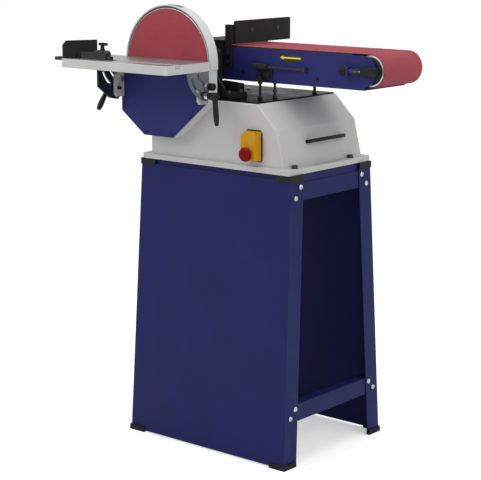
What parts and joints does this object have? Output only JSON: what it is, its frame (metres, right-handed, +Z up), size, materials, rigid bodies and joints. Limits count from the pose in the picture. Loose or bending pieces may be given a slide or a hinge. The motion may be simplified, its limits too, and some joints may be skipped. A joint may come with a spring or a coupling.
{
  "type": "belt disc sander",
  "caption": "Floor-standing belt and disc sander: abrasive belt arm that tilts upright, shaft-driven sanding disc, tilting table with mitre gauge, safety switch, sheet-metal stand.",
  "frame": {"origin": "middle of the overall bounding box in X and Y, on the floor", "axes": "+X along the sanding belt from the drive drum to the nose, -Y to the sanding disc and its table, +Z up"},
  "size_m": [0.779, 0.5224, 1.049],
  "materials": {
    "blue_paint": "satin powder coat",
    "grey_paint": "satin powder coat",
    "black_gloss": "gloss enamel",
    "black_paint": "satin powder coat",
    "black_plastic": "fine texture",
    "rubber": "matte",
    "zinc": "zinc plated",
    "black_steel": "black oxide",
    "yellow_plastic": "satin",
    "red_plastic": "satin",
    "green_plastic": "satin",
    "aluminium": "machined",
    "table_casting": "ground and painted",
    "abrasive": "coated grit",
    "steel": "machined",
    "motor_paint": "satin enamel",
    "belt_rubber": "matte"
  },
  "bodies": {
    "stand": {"front_panel": "blue_paint", "back_panel": "blue_paint", "side_rails": "blue_paint", "rubber_feet": "rubber", "corner_caps": "black_plastic", "stand_screws": "zinc", "housing": "grey_paint", "top_plate": "black_gloss", "housing_bolts": "black_steel", "side_handle": "black_plastic", "switch_box": "yellow_plastic", "pedestal": "black_paint", "pedestal_bolts": "black_steel", "shaft_bearings": "steel", "guard_housing": "grey_paint", "disc_cover": "blue_paint", "cover_screws": "zinc", "trunnion_brackets": "grey_paint", "guide_bolts": "zinc", "motor_case": "motor_paint", "motor_mount": "steel", "v_belt": "belt_rubber", "rubber_bumper": "rubber", "stop_bolt": "black_steel", "dust_port": "black_plastic"},
    "shaft_group": {"main_shaft": "steel", "disc_plate": "aluminium", "sanding_disc": "abrasive", "drive_drum": "aluminium", "driven_pulley": "aluminium"},
    "rotor_group": {"motor_rotor": "steel", "motor_pulley": "aluminium"},
    "belt_arm": {"belt_frame": "blue_paint", "sanding_belt": "abrasive", "platen": "steel", "drum_shroud": "black_paint", "frame_screws": "black_steel", "rest_bracket": "black_paint"},
    "idler_carriage": {"idler_axle": "steel", "axle_blocks": "black_plastic", "tension_spring": "black_steel"},
    "idler": {"idler_roller": "aluminium"},
    "steering_knob": {"tracking_knob": "black_plastic"},
    "quick_lever": {"tension_lever": "black_steel", "lever_grip": "rubber"},
    "belt_stop": {"work_stop": "black_paint", "stop_bracket": "black_paint", "stop_screws": "black_steel"},
    "table": {"disc_table": "table_casting", "table_trunnions": "grey_paint", "table_screws": "zinc"},
    "left_lock": {"lock_lever_left": "black_plastic"},
    "right_lock": {"lock_lever_right": "black_plastic"},
    "gauge_bar": {"miter_bar": "black_steel"},
    "gauge_head": {"miter_head": "black_paint"},
    "gauge_knob": {"miter_knob": "black_plastic"},
    "lid": {"switch_lid": "yellow_plastic"},
    "emergency_stop": {"stop_paddle": "red_plastic"},
    "green_button": {"start_button": "green_plastic"},
    "red_button": {"stop_button": "red_plastic"}
  },
  "joints": [
    {"name": "shaft_spin", "type": "hinge", "parent": "stand", "child": "shaft_group", "pos_m": [-0.14209, 0.06875, 0.9165], "axis": [0, 1, 0], "continuous": true},
    {"name": "motor_spin", "type": "hinge", "parent": "stand", "child": "rotor_group", "pos_m": [-0.14209, 0.06875, 0.758], "axis": [0, 1, 0], "continuous": true},
    {"name": "arm_tilt", "type": "hinge", "parent": "stand", "child": "belt_arm", "pos_m": [-0.14209, 0.06875, 0.9165], "axis": [0, -1, 0], "range_deg": [0, 90]},
    {"name": "idler_slide", "type": "slide", "parent": "belt_arm", "child": "idler_carriage", "axis": [-1, 0, 0], "range_m": [0, 0.006]},
    {"name": "idler_spin", "type": "hinge", "parent": "idler_carriage", "child": "idler", "pos_m": [0.35199, 0.06875, 0.9165], "axis": [0, 1, 0], "continuous": true},
    {"name": "tracking_turn", "type": "hinge", "parent": "belt_arm", "child": "steering_knob", "pos_m": [0.28851, -0.00725, 0.915], "axis": [1, 0, 0], "range_deg": [-360, 360]},
    {"name": "tension_release", "type": "hinge", "parent": "belt_arm", "child": "quick_lever", "pos_m": [0.17651, -0.00125, 0.91], "axis": [0, 1, 0], "range_deg": [0, 90]},
    {"name": "stop_height", "type": "slide", "parent": "belt_arm", "child": "belt_stop", "axis": [0, 0, 1], "range_m": [0, 0.01]},
    {"name": "table_tilt", "type": "hinge", "parent": "stand", "child": "table", "pos_m": [-0.17149, -0.10925, 0.915], "axis": [1, 0, 0], "range_deg": [0, 45]},
    {"name": "left_lock_turn", "type": "hinge", "parent": "stand", "child": "left_lock", "pos_m": [-0.30149, -0.13547, 0.8501], "axis": [1, 0, 0], "range_deg": [-60, 45]},
    {"name": "right_lock_turn", "type": "hinge", "parent": "stand", "child": "right_lock", "pos_m": [0.00851, -0.13547, 0.8501], "axis": [1, 0, 0], "range_deg": [-90, 25]},
    {"name": "gauge_slide", "type": "slide", "parent": "table", "child": "gauge_bar", "axis": [1, 0, 0], "range_m": [-0.08, 0.2]},
    {"name": "gauge_swivel", "type": "hinge", "parent": "gauge_bar", "child": "gauge_head", "pos_m": [-0.31249, -0.22325, 0.93], "axis": [0, 0, 1], "range_deg": [-18, 72]},
    {"name": "gauge_lock", "type": "hinge", "parent": "gauge_bar", "child": "gauge_knob", "pos_m": [-0.23949, -0.22325, 0.95], "axis": [0, 0, 1], "range_deg": [-180, 180]},
    {"name": "lid_open", "type": "hinge", "parent": "stand", "child": "lid", "pos_m": [0.09701, -0.09945, 0.7682], "axis": [-1, 0, 0], "range_deg": [0, 95]},
    {"name": "emergency_press", "type": "slide", "parent": "lid", "child": "emergency_stop", "axis": [0, 1, 0], "range_m": [0, 0.004]},
    {"name": "start_press", "type": "slide", "parent": "stand", "child": "green_button", "axis": [0, 1, 0], "range_m": [0, 0.003]},
    {"name": "stop_press", "type": "slide", "parent": "stand", "child": "red_button", "axis": [0, 1, 0], "range_m": [0, 0.004]}
  ],
  "couplings": [
    {"joint": "motor_spin", "follows": "shaft_spin", "ratio": 0.75},
    {"joint": "idler_spin", "follows": "shaft_spin", "ratio": 1},
    {"joint": "tension_release", "follows": "idler_slide", "rad_per_m": 261.8},
    {"joint": "stop_press", "follows": "emergency_press", "ratio": 1}
  ]
}
